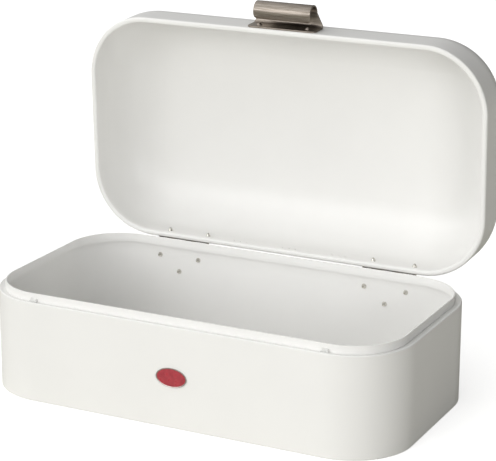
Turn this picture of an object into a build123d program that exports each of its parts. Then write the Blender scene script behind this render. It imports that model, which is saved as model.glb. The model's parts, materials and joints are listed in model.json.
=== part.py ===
from build123d import *
import math
import os

# Bread box of coated sheet steel: a low base and a deep lid on two riveted hinges.
# Millimetres. +X is to the right seen from the front, +Y is to the back, +Z is up.
# The origin is the centre of the base's footprint, on the surface that it stands on.
# The lid is drawn closed and then turned back to where it stands open.

# ---- sheet and base ----
sheet = 0.8
base_width = 417.0
base_depth = 225.0
base_corner = 60.0
ledge_height = 96.5
ledge_width = 7.0
shoulder_radius = 1.2
ledge_lip_rise = 0.4
ledge_lip_width = 1.3
ledge_dip = 0.9
collar_height = 7.0
collar_corner = 51.5
hem_depth = 6.3
foot_flange = 6.0
foot_edge_radius = 1.2

# ---- floor pan and rubber feet ----
floor_gap = 0.1
floor_underside = 3.3
floor_edge_radius = 2.0
foot_x = 150.0
foot_y = 70.0
foot_radius = 8.0
foot_rounding = 0.8

# ---- closing pads on the ledge ----
pad_x = 147.0
pad_length = 8.0
pad_foot_thickness = 0.4
pad_foot_width = 4.3
pad_body_width = 1.7
pad_body_height = 2.6

# ---- badge ----
badge_height = 48.8
badge_width = 31.0
badge_tall = 18.5
badge_backing = 0.5
badge_rim_width = 1.1
badge_rim_height = 1.1
enamel_thickness = 0.35

# ---- lid ----
lid_width = 420.0
lid_depth = 225.5
lid_corner = 63.5
lid_gap = 0.8
lid_height = 72.0
lid_edge_radius = 44.0
bead_size = 5.4
bead_outer_radius = 2.2
bead_slit = 0.5
vent_hole_radius = 1.5
vent_height = 17.0
vent_pitch = 7.0
vent_group_x = 54.0
opening_angle = 87.5

# ---- hinges ----
hinge_x = 112.0
hinge_width = 53.5
leaf_thickness = 1.2
knuckle_count = 5
knuckle_gap = 0.5
barrel_radius = 2.5
pin_radius = 1.4
pin_clearance = 0.05
pin_head_radius = 2.1
pin_head_length = 0.8
barrel_wall_gap = 0.4
axis_above_ledge = 0.9
barrel_leaf_gap = 0.4
base_leaf_side = 21.0
base_leaf_drop = 38.0
base_leaf_toe = 20.0
lid_leaf_rise = 26.0
leaf_corner = 5.0
stop_ear_reach = 12.5
stop_ear_gap = 0.3

# ---- rivets ----
rivet_pitch = 43.0
rivet_shank_radius = 1.6
rivet_head_radius = 2.5
rivet_head_height = 3.6
rivet_dimple_radius = 1.0
rivet_dimple_depth = 1.6
rivet_tail_radius = 2.6
rivet_tail_height = 1.1
base_rivet_drop = 14.0
base_rivet_low_drop = 28.8
lid_rivet_rise = 18.5

# ---- handle ----
strip = 1.4
plate_width = 72.0
plate_start = 3.0
plate_corner = 5.0
root_radius = 3.5
curl_center_rise = 14.2
curl_center_out = 15.0
curl_radius = 8.5
curl_turn = 205.0
curl_lip = 3.4
curl_width = 59.5
curl_lip_corner = 6.0
handle_rivet_x = 25.5
handle_rivet_rise = 10.0
handle_head_radius = 2.7
handle_head_height = 2.2

# ---- places that follow from the sizes above ----
base_back = base_depth / 2
base_front = -base_depth / 2
collar_top = ledge_height + collar_height
rim_height = ledge_height + lid_gap
lid_back = base_back
lid_front = lid_back - lid_depth
lid_center_y = (lid_back + lid_front) / 2
axis_y = base_back + barrel_wall_gap + barrel_radius
axis_z = ledge_height + axis_above_ledge
hinge_axis = Axis((0, axis_y, axis_z), (1, 0, 0))
floor_top = floor_underside + sheet


def slab(width, depth, corner, low, high, center_y=0.0):
    """Upright block with a rounded-rectangle outline between two heights."""
    outline = RectangleRounded(width, depth, corner)
    return Pos(0, center_y, low) * extrude(outline, high - low)


def base_slab(inset, low, high):
    """Block whose outline is the base's outer wall moved inwards."""
    return slab(base_width - 2 * inset, base_depth - 2 * inset, base_corner - inset, low, high)


def collar_slab(inset, low, high):
    """Block whose outline is the collar's outer face moved inwards."""
    width = base_width - 2 * (ledge_width + inset)
    depth = base_depth - 2 * (ledge_width + inset)
    return slab(width, depth, collar_corner - inset, low, high)


def lid_slab(inset, low, high):
    """Block whose outline is the lid's outer wall moved inwards, with heights above its rim."""
    width = lid_width - 2 * inset
    depth = lid_depth - 2 * inset
    return slab(width, depth, lid_corner - inset, rim_height + low, rim_height + high, lid_center_y)


def round_top(solid, radius):
    """Round the edges that lie highest."""
    return fillet(solid.edges().group_by(Axis.Z)[-1], radius)


def round_bottom(solid, radius):
    """Round the edges that lie lowest."""
    return fillet(solid.edges().group_by(Axis.Z)[0], radius)


def turned_back(shape):
    """Turn a closed lid piece to where the lid stands open."""
    return shape.rotate(hinge_axis, -opening_angle)


def along_y(radius, start, end, x, z):
    """Cylinder that runs along Y between two places."""
    return Pos(x, start, z) * Rot(-90, 0, 0) * Cylinder(
        radius, end - start, align=(Align.CENTER, Align.CENTER, Align.MIN)
    )


def along_x(radius, start, end, y, z):
    """Cylinder that runs along X between two places."""
    return Pos(start, y, z) * Rot(0, 90, 0) * Cylinder(
        radius, end - start, align=(Align.CENTER, Align.CENTER, Align.MIN)
    )


def base_rivet_places(side):
    """Two rivets side by side and one below, as (x, z)."""
    middle = side * hinge_x
    high = ledge_height - base_rivet_drop
    low = ledge_height - base_rivet_low_drop
    return [(middle - rivet_pitch / 2, high), (middle + rivet_pitch / 2, high), (middle, low)]


def lid_rivet_places(side):
    """Two rivets side by side, as (x, z) with the lid closed."""
    middle = side * hinge_x
    height = rim_height + lid_rivet_rise
    return [(middle - rivet_pitch / 2, height), (middle + rivet_pitch / 2, height)]


# ---- base ----
def ledge_dish(drop):
    """Shallow dish that is sunk into the top of the wall, so that the ledge slopes down to the collar."""
    low = ledge_height - ledge_dip - drop
    high = ledge_height + ledge_lip_rise - drop
    inner_width = base_width - 2 * ledge_width
    inner_depth = base_depth - 2 * ledge_width
    outer_width = base_width - 2 * ledge_lip_width
    outer_depth = base_depth - 2 * ledge_lip_width
    bottom = Pos(0, 0, low) * RectangleRounded(inner_width, inner_depth, collar_corner)
    top = Pos(0, 0, high) * RectangleRounded(outer_width, outer_depth, base_corner - ledge_lip_width)
    return loft([bottom, top], ruled=True)


def make_base_wall():
    """Wall band, stepped in at the top to a sloping ledge and a hemmed collar, turned in at the foot."""
    lip = ledge_height + ledge_lip_rise
    outside = round_top(base_slab(0, 0, lip), shoulder_radius)
    outside = round_bottom(outside, foot_edge_radius)
    outside -= ledge_dish(0)
    outside += collar_slab(0, ledge_height - 3 * sheet, collar_top)
    hollow = round_top(base_slab(sheet, sheet, lip - sheet), shoulder_radius - sheet)
    hollow -= ledge_dish(sheet)
    hollow += collar_slab(sheet, ledge_height - 5 * sheet, collar_top + sheet)
    hollow += base_slab(foot_flange, -sheet, 2 * sheet)
    wall = outside - hollow
    hem = collar_slab(sheet, collar_top - hem_depth, collar_top)
    hem -= collar_slab(2 * sheet, collar_top - 2 * hem_depth, collar_top + sheet)
    wall += hem
    wall = round_top(wall, sheet / 2)
    for side in (-1, 1):
        for x, z in base_rivet_places(side):
            wall -= along_y(rivet_shank_radius, base_back - 2 * sheet, base_back + sheet, x, z)
    return wall


def make_base_floor():
    """Floor pan with a turned-down edge that stands on the wall's foot."""
    inset = sheet + floor_gap
    pan = round_top(base_slab(inset, sheet, floor_top), floor_edge_radius)
    under = round_top(
        base_slab(inset + sheet, 0, floor_underside),
        floor_edge_radius - sheet,
    )
    return pan - under


def make_foot(x, y):
    """Round rubber pad under the floor, level with the wall's foot."""
    pad = Pos(x, y, 0) * Cylinder(
        foot_radius, floor_underside, align=(Align.CENTER, Align.CENTER, Align.MIN)
    )
    return round_bottom(pad, foot_rounding)


def make_closing_pad(side, wall):
    """Small soft pad in the corner between ledge and collar, with a thin foot under the lid's rim."""
    collar_front = base_front + ledge_width
    low = ledge_height - ledge_dip - sheet / 2
    foot = Pos(side * pad_x, collar_front - pad_foot_width / 2, low) * extrude(
        RectangleRounded(pad_length, pad_foot_width, pad_foot_width / 2 - 0.1),
        ledge_height + pad_foot_thickness - low,
    )
    body = Pos(side * pad_x, collar_front - pad_body_width / 2, low) * Box(
        pad_length - 1.5,
        pad_body_width,
        ledge_height + pad_body_height - low,
        align=(Align.CENTER, Align.CENTER, Align.MIN),
    )
    front_edges = body.edges().filter_by(lambda edge: edge.center().Y < collar_front - pad_body_width / 2)
    body = fillet(front_edges.filter_by(lambda edge: edge.center().Z > ledge_height), 0.9)
    pieces = (foot + body - wall).solids()
    return pieces.sort_by(Axis.Z)[-1]


def oval(width, tall, start, end):
    """Upright oval plate on the front wall, between two distances out from it."""
    plane = Plane(origin=(0, base_front - start, badge_height), x_dir=(1, 0, 0), z_dir=(0, -1, 0))
    return extrude(plane * Ellipse(width / 2, tall / 2), end - start)


def make_badge_plate():
    """Oval metal badge with a raised rim."""
    inner_width = badge_width - 2 * badge_rim_width
    inner_tall = badge_tall - 2 * badge_rim_width
    plate = oval(badge_width, badge_tall, 0, badge_rim_height)
    return plate - oval(inner_width, inner_tall, badge_backing, badge_rim_height + 1)


def make_badge_enamel():
    """Enamel that fills the badge inside its rim."""
    inner_width = badge_width - 2 * badge_rim_width
    inner_tall = badge_tall - 2 * badge_rim_width
    return oval(inner_width, inner_tall, badge_backing, badge_backing + enamel_thickness)


# ---- lid ----
def make_lid_shell():
    """Pressed lid with soft edges, a hollow square bead round the rim and small air holes."""
    outside = round_top(lid_slab(0, 0, lid_height), lid_edge_radius)
    inside = round_top(lid_slab(sheet, -sheet, lid_height - sheet), lid_edge_radius - sheet)
    shell = outside - inside
    bead = lid_slab(sheet / 2, 0, bead_size) - lid_slab(bead_size, -1, bead_size + 1)
    shell += bead
    shell = round_bottom(shell, bead_outer_radius - 0.2)
    bead_inner = bead_size - sheet
    shell -= lid_slab(sheet, sheet, bead_inner) - lid_slab(bead_inner, 0, bead_size)
    shell -= lid_slab(sheet, bead_inner - 0.1, bead_size + 0.1) - lid_slab(
        sheet + bead_slit, bead_inner - 0.2, bead_size + 0.2
    )
    for group in (-vent_group_x, 0, vent_group_x):
        for offset in (-vent_pitch, 0, vent_pitch):
            shell -= along_y(
                vent_hole_radius,
                lid_back - 2 * sheet,
                lid_back + sheet,
                group + offset,
                rim_height + vent_height,
            )
    for side in (-1, 1):
        for x, z in lid_rivet_places(side):
            shell -= along_y(rivet_shank_radius, lid_back - 2 * sheet, lid_back + sheet, x, z)
        shell -= along_y(
            rivet_shank_radius,
            lid_front - sheet,
            lid_front + 2 * sheet,
            side * handle_rivet_x,
            rim_height + handle_rivet_rise,
        )
    return shell


# ---- hinges ----
def knuckle_spans(side, first):
    """Stretches of the barrel that belong to one leaf, as (start, end) along X."""
    pitch = hinge_width / knuckle_count
    left = side * hinge_x - hinge_width / 2
    spans = []
    for index in range(first, knuckle_count, 2):
        start = left + index * pitch
        if index > 0:
            start += knuckle_gap / 2
        end = left + (index + 1) * pitch
        if index < knuckle_count - 1:
            end -= knuckle_gap / 2
        spans.append((start, end))
    return spans


def leaf_plate(points, side):
    """Flat plate against the back wall with its corners rounded, from (x, z) points."""
    plane = Plane(origin=(side * hinge_x, base_back, 0), x_dir=(-1, 0, 0), z_dir=(0, 1, 0))
    outline = Polyline(*[(-x, z) for x, z in points], close=True)
    plate = extrude(plane * make_face(outline), leaf_thickness)
    return plate


def round_leaf(plate, lowest, highest):
    """Round the plate's corners that lie between two heights."""
    corners = plate.edges().filter_by(Axis.Y)
    return fillet(corners.filter_by(lambda edge: lowest < edge.center().Z < highest), leaf_corner)


def with_barrel(plate, side, first, direction):
    """Add the leaf's knuckles, each joined to the plate, and bore them for the pin."""
    reach = barrel_radius + barrel_leaf_gap + 0.5
    low = axis_z if direction > 0 else axis_z - reach
    for start, end in knuckle_spans(side, first):
        plate += along_x(barrel_radius, start, end, axis_y, axis_z)
        plate += Pos(start, base_back, low) * Box(
            end - start, leaf_thickness, reach, align=(Align.MIN, Align.MIN, Align.MIN)
        )
    far_left = side * hinge_x - hinge_width
    far_right = side * hinge_x + hinge_width
    return plate - along_x(pin_radius + pin_clearance, far_left, far_right, axis_y, axis_z)


def stop_ears(side):
    """Two bent ears under the open lid's leaves, which hold the lid where it stands."""
    tilt = math.radians(90 - opening_angle)
    leaf_under = axis_z + (axis_y - base_back - leaf_thickness) - stop_ear_gap
    near = axis_y + barrel_radius + 2.2
    far = axis_y + stop_ear_reach - 2.0
    near_top = leaf_under + (near - axis_y) * math.tan(tilt) - 0.05
    far_top = leaf_under + (far - axis_y) * math.tan(tilt) - 0.05
    points = [
        (base_back + 0.2, axis_z - 22.0),
        (far, axis_z - 7.5),
        (far, far_top),
        (near, near_top),
        (near - 2.0, axis_z - 4.0),
        (base_back + 0.2, axis_z - 5.0),
    ]
    ears = []
    for edge_x in (side * hinge_x - hinge_width / 2, side * hinge_x + hinge_width / 2 - leaf_thickness):
        plane = Plane(origin=(edge_x, 0, 0), x_dir=(0, 1, 0), z_dir=(1, 0, 0))
        ears.append(extrude(plane * make_face(Polyline(*points, close=True)), leaf_thickness))
    return ears


def make_base_leaf(side):
    """Fixed leaf: a plate that narrows downwards, three knuckles and two stop ears."""
    top = axis_z - barrel_radius - barrel_leaf_gap
    half = hinge_width / 2
    toe = base_leaf_toe / 2
    waist = ledge_height - base_leaf_side
    bottom = ledge_height - base_leaf_drop
    plate = leaf_plate(
        [(-half, top), (-half, waist), (-toe, bottom), (toe, bottom), (half, waist), (half, top)], side
    )
    plate = round_leaf(plate, bottom - 1, waist + 1)
    plate = with_barrel(plate, side, 0, -1)
    for ear in stop_ears(side):
        plate += ear
    plate -= along_x(
        pin_radius + pin_clearance,
        side * hinge_x - hinge_width,
        side * hinge_x + hinge_width,
        axis_y,
        axis_z,
    )
    for x, z in base_rivet_places(side):
        plate -= along_y(rivet_shank_radius, base_back - sheet, base_back + 2 * leaf_thickness, x, z)
    return plate


def make_lid_leaf(side):
    """Moving leaf, drawn with the lid closed: a short plate and two knuckles."""
    bottom = axis_z + barrel_radius + barrel_leaf_gap
    top = rim_height + lid_leaf_rise
    half = hinge_width / 2
    plate = leaf_plate([(-half, bottom), (-half, top), (half, top), (half, bottom)], side)
    plate = round_leaf(plate, top - 1, top + 1)
    plate = with_barrel(plate, side, 1, 1)
    for x, z in lid_rivet_places(side):
        plate -= along_y(rivet_shank_radius, base_back - sheet, base_back + 2 * leaf_thickness, x, z)
    return plate


def make_pin(side):
    """Hinge pin with a flattened head at each end."""
    left = side * hinge_x - hinge_width / 2
    right = side * hinge_x + hinge_width / 2
    pin = along_x(pin_radius, left - 0.2, right + 0.2, axis_y, axis_z)
    pin += along_x(pin_head_radius, left - pin_head_length, left, axis_y, axis_z)
    pin += along_x(pin_head_radius, right, right + pin_head_length, axis_y, axis_z)
    return pin


# ---- rivets ----
def make_rivet(x, z, stack_start, stack_end, head_radius, head_height, facing):
    """Rivet along Y through a stack of sheets, its domed head towards facing and a flat tail."""
    head_base, tail_base = (stack_start, stack_end) if facing < 0 else (stack_end, stack_start)
    dome_radius = (head_radius**2 + head_height**2) / (2 * head_height)
    center = head_base - facing * (dome_radius - head_height)
    dome = Pos(x, center, z) * Sphere(dome_radius)
    slice_end = head_base + facing * head_height * 2
    dome &= along_y(head_radius, min(head_base, slice_end), max(head_base, slice_end), x, z)
    tail_end = tail_base - facing * rivet_tail_height
    tail = along_y(rivet_tail_radius, min(tail_base, tail_end), max(tail_base, tail_end), x, z)
    shank = along_y(rivet_shank_radius, stack_start, stack_end, x, z)
    return dome + shank + tail


def dimple(rivet, x, z, head_base, head_height, facing):
    """Sink the small hole that a pulled rivet has in its head."""
    mouth = head_base + facing * head_height * 2
    bottom = head_base + facing * (head_height - rivet_dimple_depth)
    return rivet - along_y(rivet_dimple_radius, min(mouth, bottom), max(mouth, bottom), x, z)


def make_hinge_rivets(places):
    """Rivets with their heads inside the box and their tails on the leaf."""
    inner = base_back - sheet
    outer = base_back + leaf_thickness
    rivets = []
    for x, z in places:
        rivet = make_rivet(x, z, inner, outer, rivet_head_radius, rivet_head_height, -1)
        rivets.append(dimple(rivet, x, z, inner, rivet_head_height, -1))
    return Compound(children=[rivet.solid() for rivet in rivets])


def make_handle_rivets():
    """Two rivets with domed heads on the handle's plate and tails inside the lid."""
    z = rim_height + handle_rivet_rise
    rivets = []
    for side in (-1, 1):
        x = side * handle_rivet_x
        outer = lid_front - strip
        inner = lid_front + sheet
        rivets.append(make_rivet(x, z, outer, inner, handle_head_radius, handle_head_height, -1))
    return rivets


# ---- handle ----
def make_handle():
    """One strip: a plate on the lid's front, a bend at its far end and a curl back over the plate."""
    half = strip / 2
    root_end = curl_center_rise + curl_radius
    root_start = root_end - root_radius
    lip_angle = math.radians(curl_turn)
    lip_start = (
        curl_center_rise + curl_radius * math.cos(lip_angle),
        curl_center_out + curl_radius * math.sin(lip_angle),
    )
    lip_end = (
        lip_start[0] - curl_lip * math.sin(lip_angle),
        lip_start[1] + curl_lip * math.cos(lip_angle),
    )
    middle = [
        Line((plate_start, half), (root_start, half)),
        CenterArc((root_start, half + root_radius), root_radius, -90, 90),
        Line((root_end, half + root_radius), (root_end, curl_center_out)),
        CenterArc((curl_center_rise, curl_center_out), curl_radius, 0, curl_turn),
        Line(lip_start, lip_end),
    ]
    side_plane = Plane(
        origin=(-plate_width / 2, lid_front, rim_height), x_dir=(0, 0, 1), z_dir=(1, 0, 0)
    )
    section = make_face(offset(Wire(middle), half, side=Side.BOTH))
    curl = extrude(side_plane * section, plate_width)
    plate_zone = Pos(0, lid_front, rim_height + plate_start - half) * Box(
        plate_width, 2 * strip + 0.4, 2 * root_end, align=(Align.CENTER, Align.MAX, Align.MIN)
    )
    near_corners = plate_zone.edges().filter_by(Axis.Y).group_by(Axis.Z)[0]
    plate_zone = fillet(near_corners, plate_corner)
    top = curl_center_out + curl_radius + 2 * strip
    back_plane = Plane(
        origin=(0, lid_front, rim_height + curl_center_rise - 2.0), x_dir=(1, 0, 0), z_dir=(0, 0, 1)
    )
    back_outline = Polyline(
        (-plate_width / 2, 0),
        (-plate_width / 2, -1.5 * strip),
        (-curl_width / 2, -curl_center_out),
        (-curl_width / 2, -top),
        (curl_width / 2, -top),
        (curl_width / 2, -curl_center_out),
        (plate_width / 2, -1.5 * strip),
        (plate_width / 2, 0),
        close=True,
    )
    back_zone = extrude(back_plane * make_face(back_outline), 2 * curl_radius)
    lip_low = lip_end[1] - half
    front_zone = Pos(0, lid_front - lip_low, rim_height) * Box(
        curl_width, top - lip_low, curl_center_rise - 2.0, align=(Align.CENTER, Align.MAX, Align.MIN)
    )
    lip_corners = front_zone.edges().filter_by(Axis.Z).group_by(Axis.Y)[-1]
    front_zone = fillet(lip_corners, curl_lip_corner)
    handle = curl & (plate_zone + back_zone + front_zone)
    for side in (-1, 1):
        handle -= along_y(
            rivet_shank_radius,
            lid_front - 2 * strip,
            lid_front + strip,
            side * handle_rivet_x,
            rim_height + handle_rivet_rise,
        )
    return handle


# ---- write every piece to its own file ----
os.makedirs("parts", exist_ok=True)


def save(shape, name):
    """Write one named piece."""
    export_step(shape, f"parts/{name}.step")


def solids_of(shapes):
    """Gather separate solids in one piece file."""
    return Compound(children=[solid for shape in shapes for solid in shape.solids()])


base_wall = make_base_wall()
save(base_wall, "base_wall")
save(make_base_floor(), "base_floor")
for y_name, y_side in (("front", -1), ("back", 1)):
    for x_name, x_side in (("left", -1), ("right", 1)):
        save(make_foot(x_side * foot_x, y_side * foot_y), f"foot_{y_name}_{x_name}")
save(make_badge_plate(), "badge_plate")
save(make_badge_enamel(), "badge_enamel")
save(turned_back(make_lid_shell()), "lid_shell")
save(turned_back(make_handle()), "handle")
save(solids_of([turned_back(rivet) for rivet in make_handle_rivets()]), "handle_rivets")
for name, side in (("left", -1), ("right", 1)):
    save(make_closing_pad(side, base_wall), f"closing_pad_{name}")
    save(make_base_leaf(side), f"hinge_{name}_base_leaf")
    save(turned_back(make_lid_leaf(side)), f"hinge_{name}_lid_leaf")
    save(make_pin(side), f"hinge_{name}_pin")
    save(make_hinge_rivets(base_rivet_places(side)), f"hinge_{name}_base_rivets")
    lid_rivets = make_hinge_rivets(lid_rivet_places(side))
    save(solids_of([turned_back(rivet) for rivet in lid_rivets.solids()]), f"hinge_{name}_lid_rivets")
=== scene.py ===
import json
import math

import bpy
from mathutils import Matrix, Vector


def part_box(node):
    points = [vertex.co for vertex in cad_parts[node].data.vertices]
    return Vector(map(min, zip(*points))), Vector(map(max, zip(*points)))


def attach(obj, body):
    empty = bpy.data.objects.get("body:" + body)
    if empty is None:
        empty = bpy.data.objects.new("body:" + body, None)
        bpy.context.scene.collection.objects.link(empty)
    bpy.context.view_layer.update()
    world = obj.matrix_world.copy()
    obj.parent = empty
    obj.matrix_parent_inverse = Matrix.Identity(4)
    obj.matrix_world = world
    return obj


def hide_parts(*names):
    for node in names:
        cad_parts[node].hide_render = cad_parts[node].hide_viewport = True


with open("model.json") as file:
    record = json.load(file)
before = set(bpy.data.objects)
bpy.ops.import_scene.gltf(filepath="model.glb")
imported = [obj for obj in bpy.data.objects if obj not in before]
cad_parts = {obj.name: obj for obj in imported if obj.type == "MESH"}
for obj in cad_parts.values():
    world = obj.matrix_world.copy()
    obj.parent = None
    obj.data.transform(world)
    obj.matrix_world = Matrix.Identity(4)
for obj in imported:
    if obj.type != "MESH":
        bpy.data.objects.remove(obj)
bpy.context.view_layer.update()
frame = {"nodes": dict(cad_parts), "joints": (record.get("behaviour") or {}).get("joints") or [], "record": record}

# Bread box of powder-coated sheet steel with its lid standing open on two riveted hinges.
# Everything is in metres. X runs to the right, Y to the back and Z up.

nodes = frame["nodes"]
bpy.ops.object.select_all(action="DESELECT")

# ---------------------------------------------------------------- finishes


def new_finish(name):
    """An empty material with its shader, its output and the object's own coordinates."""
    finish = bpy.data.materials.new(name)
    finish.use_nodes = True
    tree = finish.node_tree
    tree.nodes.clear()
    out = tree.nodes.new("ShaderNodeOutputMaterial")
    shader = tree.nodes.new("ShaderNodeBsdfPrincipled")
    tree.links.new(shader.outputs["BSDF"], out.inputs["Surface"])
    place = tree.nodes.new("ShaderNodeTexCoord")
    return finish, tree, shader, place


def stretched(tree, place, scale):
    """The object's coordinates, scaled on each axis, in features per metre."""
    mapping = tree.nodes.new("ShaderNodeMapping")
    mapping.inputs["Scale"].default_value = scale
    tree.links.new(place.outputs["Object"], mapping.inputs["Vector"])
    return mapping.outputs["Vector"]


def noise(tree, vector, scale, detail=2.0, rough=0.5):
    """A soft random pattern along the given coordinates."""
    node = tree.nodes.new("ShaderNodeTexNoise")
    node.inputs["Scale"].default_value = scale
    node.inputs["Detail"].default_value = detail
    node.inputs["Roughness"].default_value = rough
    tree.links.new(vector, node.inputs["Vector"])
    return node.outputs["Fac"]


def ranged(tree, value, low, high, to_low, to_high):
    """Stretch a value from one range to another."""
    node = tree.nodes.new("ShaderNodeMapRange")
    node.inputs["From Min"].default_value = low
    node.inputs["From Max"].default_value = high
    node.inputs["To Min"].default_value = to_low
    node.inputs["To Max"].default_value = to_high
    tree.links.new(value, node.inputs["Value"])
    return node.outputs["Result"]


def between(tree, value, stops):
    """Turn a value into a colour along a few stops."""
    ramp = tree.nodes.new("ShaderNodeValToRGB")
    points = ramp.color_ramp.elements
    while len(points) < len(stops):
        points.new(0.5)
    for point, (at, colour) in zip(points, stops):
        point.position = at
        point.color = (*colour, 1.0)
    tree.links.new(value, ramp.inputs["Fac"])
    return ramp.outputs["Color"]


def bumped(tree, shader, height, depth, strength):
    """Raise the surface by a pattern; depth is in metres."""
    bump = tree.nodes.new("ShaderNodeBump")
    bump.inputs["Strength"].default_value = strength
    bump.inputs["Distance"].default_value = depth
    tree.links.new(height, bump.inputs["Height"])
    tree.links.new(bump.outputs["Normal"], shader.inputs["Normal"])


def powder_coat():
    """Warm white powder coat: a soft orange-peel skin with a satin shine."""
    finish, tree, shader, place = new_finish("white_powder_coat")
    even = stretched(tree, place, (1, 1, 1))
    tone = noise(tree, even, 14, 3)
    colour = between(tree, tone, [(0.3, (0.876, 0.872, 0.856)), (0.7, (0.896, 0.892, 0.876))])
    tree.links.new(colour, shader.inputs["Base Color"])
    peel = noise(tree, even, 950, 2)
    shine = noise(tree, even, 60, 4)
    tree.links.new(ranged(tree, shine, 0.3, 0.7, 0.36, 0.44), shader.inputs["Roughness"])
    bumped(tree, shader, peel, 0.00002, 0.35)
    shader.inputs["IOR"].default_value = 1.48
    return finish


def brushed_nickel():
    """Warm nickel with a fine grain along the handle."""
    finish, tree, shader, place = new_finish("brushed_nickel")
    grain = noise(tree, stretched(tree, place, (60, 4200, 4200)), 1, 3, 0.6)
    broad = noise(tree, stretched(tree, place, (25, 300, 300)), 1, 3)
    colour = between(
        tree,
        grain,
        [(0.30, (0.14, 0.115, 0.092)), (0.52, (0.34, 0.30, 0.26)), (0.72, (0.56, 0.51, 0.46))],
    )
    tree.links.new(colour, shader.inputs["Base Color"])
    shader.inputs["Metallic"].default_value = 1.0
    tree.links.new(ranged(tree, broad, 0.3, 0.7, 0.30, 0.42), shader.inputs["Roughness"])
    bumped(tree, shader, grain, 0.00004, 0.5)
    return finish


def plated_steel():
    """Dull plated steel of the hinges, a little stained."""
    finish, tree, shader, place = new_finish("hinge_plated_steel")
    even = stretched(tree, place, (1, 1, 1))
    stain = noise(tree, even, 180, 5, 0.6)
    colour = between(tree, stain, [(0.3, (0.23, 0.19, 0.155)), (0.7, (0.42, 0.38, 0.33))])
    tree.links.new(colour, shader.inputs["Base Color"])
    shader.inputs["Metallic"].default_value = 1.0
    tree.links.new(ranged(tree, stain, 0.3, 0.7, 0.48, 0.30), shader.inputs["Roughness"])
    bumped(tree, shader, noise(tree, even, 1500, 3), 0.00002, 0.5)
    return finish


def rivet_metal():
    """Satin metal of the rivet heads."""
    finish, tree, shader, place = new_finish("rivet_satin_metal")
    even = stretched(tree, place, (1, 1, 1))
    mark = noise(tree, even, 700, 4, 0.6)
    colour = between(tree, mark, [(0.3, (0.55, 0.53, 0.50)), (0.7, (0.76, 0.74, 0.68))])
    tree.links.new(colour, shader.inputs["Base Color"])
    shader.inputs["Metallic"].default_value = 1.0
    tree.links.new(ranged(tree, mark, 0.3, 0.7, 0.34, 0.20), shader.inputs["Roughness"])
    bumped(tree, shader, mark, 0.00003, 0.4)
    return finish


def badge_metal():
    """Polished rim of the badge."""
    finish, tree, shader, place = new_finish("badge_bright_metal")
    even = stretched(tree, place, (1, 1, 1))
    haze = noise(tree, even, 400, 4, 0.6)
    colour = between(tree, haze, [(0.3, (0.36, 0.305, 0.29)), (0.7, (0.48, 0.42, 0.40))])
    tree.links.new(colour, shader.inputs["Base Color"])
    shader.inputs["Metallic"].default_value = 1.0
    tree.links.new(ranged(tree, haze, 0.3, 0.7, 0.40, 0.30), shader.inputs["Roughness"])
    bumped(tree, shader, haze, 0.00001, 0.4)
    return finish


def red_enamel():
    """Deep red enamel, slightly uneven, under a clear gloss."""
    finish, tree, shader, place = new_finish("badge_red_enamel")
    even = stretched(tree, place, (1, 1, 1))
    depth = noise(tree, even, 240, 4)
    colour = between(tree, depth, [(0.3, (0.34, 0.022, 0.038)), (0.7, (0.46, 0.040, 0.058))])
    tree.links.new(colour, shader.inputs["Base Color"])
    shader.inputs["Coat Weight"].default_value = 0.6
    shader.inputs["Coat Roughness"].default_value = 0.08
    tree.links.new(ranged(tree, depth, 0.3, 0.7, 0.34, 0.26), shader.inputs["Roughness"])
    bumped(tree, shader, noise(tree, even, 500, 2), 0.00002, 0.3)
    return finish


def foot_rubber():
    """Black rubber with a fine dusty grain."""
    finish, tree, shader, place = new_finish("foot_black_rubber")
    even = stretched(tree, place, (1, 1, 1))
    dust = noise(tree, even, 300, 5, 0.65)
    colour = between(tree, dust, [(0.35, (0.022, 0.022, 0.022)), (0.75, (0.055, 0.053, 0.050))])
    tree.links.new(colour, shader.inputs["Base Color"])
    tree.links.new(ranged(tree, dust, 0.3, 0.7, 0.72, 0.86), shader.inputs["Roughness"])
    bumped(tree, shader, noise(tree, even, 1400, 3), 0.00006, 0.5)
    return finish


def pad_plastic():
    """Milky soft plastic of the closing pads."""
    finish, tree, shader, place = new_finish("pad_milky_plastic")
    even = stretched(tree, place, (1, 1, 1))
    cloud = noise(tree, even, 350, 3)
    colour = between(tree, cloud, [(0.3, (0.70, 0.70, 0.68)), (0.7, (0.80, 0.80, 0.78))])
    tree.links.new(colour, shader.inputs["Base Color"])
    tree.links.new(ranged(tree, cloud, 0.3, 0.7, 0.22, 0.32), shader.inputs["Roughness"])
    bumped(tree, shader, noise(tree, even, 900, 2), 0.00002, 0.3)
    return finish


white = powder_coat()
nickel = brushed_nickel()
steel = plated_steel()
rivet = rivet_metal()
bright = badge_metal()
red = red_enamel()
rubber = foot_rubber()
milky = pad_plastic()

finish_of = {
    "white_coat": white,
    "foot_rubber": rubber,
    "pad_clear": milky,
    "badge_metal": bright,
    "badge_red": red,
    "hinge_steel": steel,
    "rivet_metal": rivet,
    "handle_nickel": nickel,
}
for part in frame["record"]["subparts"]:
    for holder in nodes[part["node"]].material_slots:
        holder.material = finish_of[part["material_slot"]]

# ---------------------------------------------------------------- where things are

hinge = Vector(frame["joints"][0]["pos_m"])
open_by = math.radians(frame["joints"][0]["range_deg"][1])
to_pin = Matrix.Translation(hinge)
shut_turn = to_pin @ Matrix.Rotation(open_by, 4, "X") @ to_pin.inverted()


def shut_box(node):
    """Lowest and highest corner of a lid part as it lies when the lid is shut."""
    points = [shut_turn @ point.co for point in nodes[node].data.vertices]
    low = Vector([min(point[axis] for point in points) for axis in range(3)])
    high = Vector([max(point[axis] for point in points) for axis in range(3)])
    return low, high


# ---------------------------------------------------------------- workshop helpers


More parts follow.
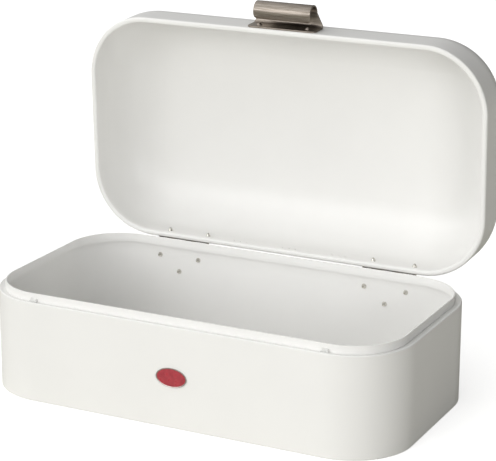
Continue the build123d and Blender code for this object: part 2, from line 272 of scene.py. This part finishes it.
def started(name):
    """Name the primitive that was just added and open it for editing with nothing selected."""
    piece = bpy.context.object
    piece.name = name
    piece.data.name = name
    bpy.ops.object.transform_apply(location=True, rotation=True, scale=True)
    bpy.ops.object.mode_set(mode="EDIT")
    bpy.ops.mesh.select_all(action="DESELECT")
    return piece


def pick(piece, kind, test):
    """In edit mode, select the vertices, edges or faces whose place passes the test."""
    bpy.ops.mesh.select_mode(type=kind)
    bpy.ops.mesh.select_all(action="DESELECT")
    bpy.ops.object.mode_set(mode="OBJECT")
    mesh = piece.data
    if kind == "VERT":
        for vertex in mesh.vertices:
            vertex.select = test(vertex.co)
    elif kind == "EDGE":
        for edge in mesh.edges:
            first, second = (mesh.vertices[index].co for index in edge.vertices)
            edge.select = test((first + second) / 2, (second - first).normalized())
    else:
        for face in mesh.polygons:
            face.select = test(face.center, face.normal)
    bpy.ops.object.mode_set(mode="EDIT")


def apply_all(piece):
    """Apply every modifier in order."""
    only(piece)
    for modifier in list(piece.modifiers):
        bpy.ops.object.modifier_apply(modifier=modifier.name)


def only(piece):
    """Leave edit mode and make this piece the only one selected."""
    if bpy.context.object and bpy.context.object.mode == "EDIT":
        bpy.ops.object.mode_set(mode="OBJECT")
    bpy.ops.object.select_all(action="DESELECT")
    piece.select_set(True)
    bpy.context.view_layer.objects.active = piece


def turn_back(piece):
    """Turn a piece drawn on the shut lid to where the lid stands open."""
    only(piece)
    piece.matrix_world = shut_turn.inverted()
    bpy.ops.object.transform_apply(location=True, rotation=True, scale=True)


def done(piece, finish, material_slot, body, *replaced):
    """Outward faces, soft shading, finish, and the body and part that the piece stands for."""
    only(piece)
    bpy.ops.object.mode_set(mode="EDIT")
    bpy.ops.mesh.select_all(action="SELECT")
    bpy.ops.mesh.remove_doubles(threshold=0.000005)
    bpy.ops.mesh.normals_make_consistent(inside=False)
    bpy.ops.object.mode_set(mode="OBJECT")
    bpy.ops.object.shade_smooth_by_angle(angle=math.radians(40))
    piece.data.materials.clear()
    piece.data.materials.append(finish)
    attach(piece, body)
    if replaced:
        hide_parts(*replaced)
    piece.select_set(False)


# ---------------------------------------------------------------- handle


def make_handle():
    """One strip of nickel: a flat plate, a bend at its far end and a curl back over the plate."""
    low, high = shut_box("handle")
    thick = 0.0014
    half_plate = high.x
    half_curl = 0.02975
    face = high.y - thick / 2
    foot = low.z
    bend = 0.0035
    curl = 0.0085
    top = high.z - thick / 2
    curl_y = low.y + thick / 2 + curl
    bpy.ops.mesh.primitive_plane_add(size=1, location=(0, face, (foot + top - bend) / 2))
    bpy.context.object.rotation_euler.x = math.radians(90)
    bpy.context.object.scale = (half_plate * 2, top - bend - foot, 1)
    strip = started("handle_strip")
    pick(strip, "EDGE", lambda middle, way: abs(way.x) > 0.9 and middle.z > top - bend - 0.0002)
    bpy.ops.mesh.spin(
        steps=10, angle=math.radians(-90), center=(0, face - bend, top - bend), axis=(1, 0, 0)
    )
    steps_out = 6
    for _ in range(steps_out):
        bpy.ops.mesh.extrude_region_move(
            TRANSFORM_OT_translate={"value": (0, (curl_y - (face - bend)) / steps_out, 0)}
        )
    turn = math.radians(205)
    bpy.ops.mesh.spin(steps=36, angle=-turn, center=(0, curl_y, top - curl), axis=(1, 0, 0))
    lip = 0.0034
    bpy.ops.mesh.extrude_region_move(
        TRANSFORM_OT_translate={"value": (0, -lip * math.cos(turn), -lip * math.sin(turn))}
    )

    # the strip narrows from the plate to the curl
    widest = face - 0.0014
    bpy.ops.object.mode_set(mode="OBJECT")
    rows = sorted({round(point.co.y, 5) for point in strip.data.vertices}, reverse=True)
    bpy.ops.object.mode_set(mode="EDIT")
    for row in rows:
        if row > widest:
            continue
        share = min(1.0, (widest - row) / (widest - curl_y))
        pick(strip, "VERT", lambda at: abs(at.y - row) < 0.000006 and at.z > top - curl)
        half = half_plate + (half_curl - half_plate) * share
        bpy.ops.transform.resize(value=(half / half_plate, 1, 1), center_override=(0, 0, 0))
    pick(
        strip,
        "VERT",
        lambda at: at.y < widest and at.z <= top - curl and abs(at.x) > half_curl + 0.0001,
    )
    bpy.ops.transform.resize(value=(half_curl / half_plate, 1, 1), center_override=(0, 0, 0))

    # rounded corners at both ends of the strip
    pick(strip, "VERT", lambda at: at.z < foot + 0.00001)
    bpy.ops.mesh.bevel(affect="VERTICES", offset=0.005, segments=8)
    end_y = curl_y - curl * math.sin(turn) - lip * math.cos(turn)
    pick(strip, "VERT", lambda at: abs(at.y - end_y) < 0.00002 and at.z < top - curl - 0.002)
    bpy.ops.mesh.bevel(affect="VERTICES", offset=0.0032, segments=6)
    only(strip)
    wall = strip.modifiers.new("thickness", "SOLIDIFY")
    wall.thickness = thick
    wall.offset = 0
    wall.use_even_offset = True
    edge = strip.modifiers.new("broken_edges", "BEVEL")
    edge.width = 0.0003
    edge.segments = 3
    edge.limit_method = "ANGLE"
    edge.angle_limit = math.radians(50)
    apply_all(strip)
    turn_back(strip)
    done(strip, nickel, "handle_nickel", "lid", "handle")


# ---------------------------------------------------------------- badge


def make_badge():
    """Oval badge: a bright plate with a raised rounded rim, and a shallow dome of red enamel."""
    low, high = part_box("badge_plate")
    centre = (low + high) / 2
    half_wide = (high.x - low.x) / 2
    half_tall = (high.z - low.z) / 2
    rim = 0.0011
    bpy.ops.mesh.primitive_circle_add(
        vertices=96, radius=1, fill_type="NGON", location=(centre.x, high.y, centre.z)
    )
    bpy.context.object.rotation_euler.x = math.radians(90)
    bpy.context.object.scale = (half_wide, half_tall, 1)
    plate = started("badge_bright_plate")
    bpy.ops.mesh.select_all(action="SELECT")
    bpy.ops.mesh.extrude_region_move(TRANSFORM_OT_translate={"value": (0, low.y - high.y, 0)})
    bpy.ops.mesh.inset(thickness=rim)
    bpy.ops.transform.translate(value=(0, 0.0006, 0))
    only(plate)
    soft = plate.modifiers.new("soft_rim", "BEVEL")
    soft.width = 0.00035
    soft.segments = 4
    soft.limit_method = "ANGLE"
    soft.angle_limit = math.radians(50)
    apply_all(plate)
    done(plate, bright, "badge_metal", "base", "badge_plate")

    enamel_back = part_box("badge_enamel")[1].y
    bpy.ops.mesh.primitive_circle_add(
        vertices=96, radius=1, fill_type="NGON", location=(centre.x, enamel_back, centre.z)
    )
    bpy.context.object.rotation_euler.x = math.radians(90)
    bpy.context.object.scale = (half_wide - rim, half_tall - rim, 1)
    glaze = started("badge_red_dome")
    bpy.ops.mesh.select_all(action="SELECT")
    bpy.ops.mesh.extrude_region_move(TRANSFORM_OT_translate={"value": (0, -0.00022, 0)})
    for step, rise in ((0.0005, 0.00008), (0.0009, 0.00008), (0.0012, 0.00006), (0.0014, 0.00004)):
        bpy.ops.mesh.inset(thickness=step)
        bpy.ops.transform.translate(value=(0, -rise, 0))
    done(glaze, red, "badge_red", "base", "badge_enamel")


# ---------------------------------------------------------------- rivets


def model_rivet(name, head, rise, hollow, shank_from, shank_to, tail):
    """Rivet along Y: a domed head in front, a shank through the sheets and a flat tail behind."""
    bpy.ops.mesh.primitive_cylinder_add(
        vertices=40, radius=head, depth=0.0004, location=(0, shank_from - 0.0002, 0)
    )
    bpy.context.object.rotation_euler.x = math.radians(90)
    piece = started(name)
    pick(piece, "FACE", lambda middle, normal: normal.y < -0.9)
    radius, height = head, 0.0004
    mouth = 0.0010
    for step in range(1, 8):
        share = step / 7
        wanted = head + (mouth - head) * share
        climb = max(0.0, rise * (1 - (wanted / head) ** 2.6)) if hollow or step < 7 else rise
        climb = max(climb, height)
        bpy.ops.mesh.inset(thickness=radius - wanted)
        bpy.ops.transform.translate(value=(0, height - climb, 0))
        radius, height = wanted, climb
    if hollow:
        bpy.ops.mesh.inset(thickness=0.00018)
        bpy.ops.mesh.extrude_region_move(TRANSFORM_OT_translate={"value": (0, 0.0012, 0)})
    pick(piece, "FACE", lambda middle, normal: normal.y > 0.9 and middle.y > shank_from - 0.0001)
    bpy.ops.mesh.inset(thickness=head - 0.0016)
    bpy.ops.mesh.extrude_region_move(
        TRANSFORM_OT_translate={"value": (0, shank_to - shank_from, 0)}
    )
    bpy.ops.mesh.extrude_region_move(TRANSFORM_OT_translate={"value": (0, 0.00001, 0)})
    bpy.ops.transform.resize(value=(tail / 0.0016, 1, tail / 0.0016))
    bpy.ops.mesh.extrude_region_move(TRANSFORM_OT_translate={"value": (0, 0.0008, 0)})
    bpy.ops.mesh.inset(thickness=0.0005)
    bpy.ops.transform.translate(value=(0, 0.00025, 0))
    only(piece)
    return piece


def set_rivets(pattern, name, places, shut_lid, finish, material_slot, body, node):
    """Copies of one rivet at each place, joined as one piece."""
    copies = []
    for place in places:
        copy = pattern.copy()
        copy.data = pattern.data.copy()
        bpy.context.scene.collection.objects.link(copy)
        copy.location = place
        copies.append(copy)
    bpy.ops.object.select_all(action="DESELECT")
    for copy in copies:
        copy.select_set(True)
    bpy.context.view_layer.objects.active = copies[0]
    bpy.ops.object.transform_apply(location=True, rotation=True, scale=True)
    bpy.ops.object.join()
    row = bpy.context.object
    row.name = name
    row.data.name = name
    if shut_lid:
        turn_back(row)
    done(row, finish, material_slot, body, node)


def make_rivets():
    """Rivets of both hinges and of the handle."""
    tail_radius = 0.0026
    tail_rise = 0.0011
    head = 0.0025
    head_rise = 0.0036
    low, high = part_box("hinge_left_base_rivets")
    inner = low.y + head_rise
    outer = high.y - tail_rise
    pattern = model_rivet("rivet_pattern", head, head_rise, True, 0.0, outer - inner, tail_radius)
    for side in ("left", "right"):
        low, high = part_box(f"hinge_{side}_base_rivets")
        middle = (low.x + high.x) / 2
        places = [
            (low.x + head, inner, high.z - head),
            (high.x - head, inner, high.z - head),
            (middle, inner, low.z + head),
        ]
        name, node = f"base_rivets_{side}", f"hinge_{side}_base_rivets"
        set_rivets(pattern, name, places, False, rivet, "rivet_metal", "base", node)
        low, high = shut_box(f"hinge_{side}_lid_rivets")
        level = (low.z + high.z) / 2
        places = [(low.x + head, inner, level), (high.x - head, inner, level)]
        name, node = f"lid_rivets_{side}", f"hinge_{side}_lid_rivets"
        set_rivets(pattern, name, places, True, rivet, "rivet_metal", "lid", node)
    bpy.data.objects.remove(pattern)

    head = 0.0027
    head_rise = 0.0022
    low, high = shut_box("handle_rivets")
    front = low.y + head_rise
    back = high.y - tail_rise
    pattern = model_rivet(
        "handle_rivet_pattern", head, head_rise, False, 0.0, back - front, tail_radius
    )
    level = (low.z + high.z) / 2
    places = [(low.x + head, front, level), (high.x - head, front, level)]
    set_rivets(
        pattern, "handle_rivet_pair", places, True, nickel, "handle_nickel", "lid", "handle_rivets"
    )
    bpy.data.objects.remove(pattern)


make_handle()
make_badge()
make_rivets()

# ---------------------------------------------------------------- floor, light and camera


def make_floor():
    """Plain pale floor, lighter to the eye than in what it throws back on the box."""
    bpy.ops.mesh.primitive_plane_add(size=14, location=(0, 0, 0))
    floor = bpy.context.object
    floor.name = "floor"
    finish, tree, shader, place = new_finish("floor_pale_paint")
    tone = noise(tree, stretched(tree, place, (1, 1, 1)), 3, 2)
    colour = between(tree, tone, [(0.3, (0.60, 0.585, 0.52)), (0.7, (0.62, 0.605, 0.54))])
    tree.links.new(colour, shader.inputs["Base Color"])
    shader.inputs["Roughness"].default_value = 0.9
    shader.inputs["Specular IOR Level"].default_value = 0.0
    seen = tree.nodes.new("ShaderNodeBsdfPrincipled")
    seen.inputs["Base Color"].default_value = (0.95, 0.95, 0.95, 1.0)
    seen.inputs["Roughness"].default_value = 0.9
    seen.inputs["Specular IOR Level"].default_value = 0.0
    seen.inputs["Emission Color"].default_value = (1.0, 1.0, 1.0, 1.0)
    seen.inputs["Emission Strength"].default_value = 0.60
    path = tree.nodes.new("ShaderNodeLightPath")
    mix = tree.nodes.new("ShaderNodeMixShader")
    tree.links.new(path.outputs["Is Camera Ray"], mix.inputs["Fac"])
    tree.links.new(shader.outputs["BSDF"], mix.inputs[1])
    tree.links.new(seen.outputs["BSDF"], mix.inputs[2])
    tree.links.new(mix.outputs["Shader"], tree.nodes["Material Output"].inputs["Surface"])
    floor.data.materials.append(finish)


def softbox(name, place, aim, width, height, power):
    """Soft rectangular lamp that looks at a point."""
    lamp = bpy.data.lights.new(name, "AREA")
    lamp.shape = "RECTANGLE"
    lamp.size = width
    lamp.size_y = height
    lamp.energy = power
    holder = bpy.data.objects.new(name, lamp)
    bpy.context.scene.collection.objects.link(holder)
    holder.location = place
    holder.rotation_euler = (Vector(aim) - Vector(place)).to_track_quat("-Z", "Y").to_euler()


def make_lights():
    """Pale room that is brightest to the front left, with two lamps in front."""
    world = bpy.data.worlds.new("pale_room")
    bpy.context.scene.world = world
    world.use_nodes = True
    tree = world.node_tree
    back = tree.nodes["Background"]
    place = tree.nodes.new("ShaderNodeTexCoord")
    side = tree.nodes.new("ShaderNodeVectorMath")
    side.operation = "DOT_PRODUCT"
    side.inputs[1].default_value = Vector((-0.78, -0.50, 0.30)).normalized()
    tree.links.new(place.outputs["Generated"], side.inputs[0])
    shade = ranged(tree, side.outputs["Value"], -0.30, 0.80, 0.0, 1.24)
    tree.links.new(shade, back.inputs["Strength"])
    back.inputs["Color"].default_value = (1.0, 1.0, 0.99, 1.0)
    softbox("lamp_front_left", (-1.1, -2.8, 1.2), (0, 0, 0.12), 2.2, 1.6, 20)
    softbox("lamp_front_right", (2.0, -2.1, 0.6), (0, 0, 0.16), 1.0, 1.0, 20)


def make_camera():
    """Long lens from the front right, a little above."""
    lens = bpy.data.cameras.new("camera")
    lens.sensor_width = 36.0
    lens.lens = 143.94
    lens.shift_x = 0.0182
    lens.shift_y = -0.0161
    lens.clip_start = 0.05
    lens.clip_end = 50.0
    camera = bpy.data.objects.new("camera", lens)
    bpy.context.scene.collection.objects.link(camera)
    turn = Matrix.Rotation(math.radians(26.50), 4, "Z")
    tilt = Matrix.Rotation(math.radians(90 - 16.51), 4, "X")
    roll = Matrix.Rotation(math.radians(0.21), 4, "Z")
    camera.matrix_world = Matrix.Translation((0.79396, -1.57061, 0.68546)) @ turn @ tilt @ roll
    bpy.context.scene.camera = camera


make_floor()
make_lights()
make_camera()
bpy.context.scene.view_settings.view_transform = "Standard"
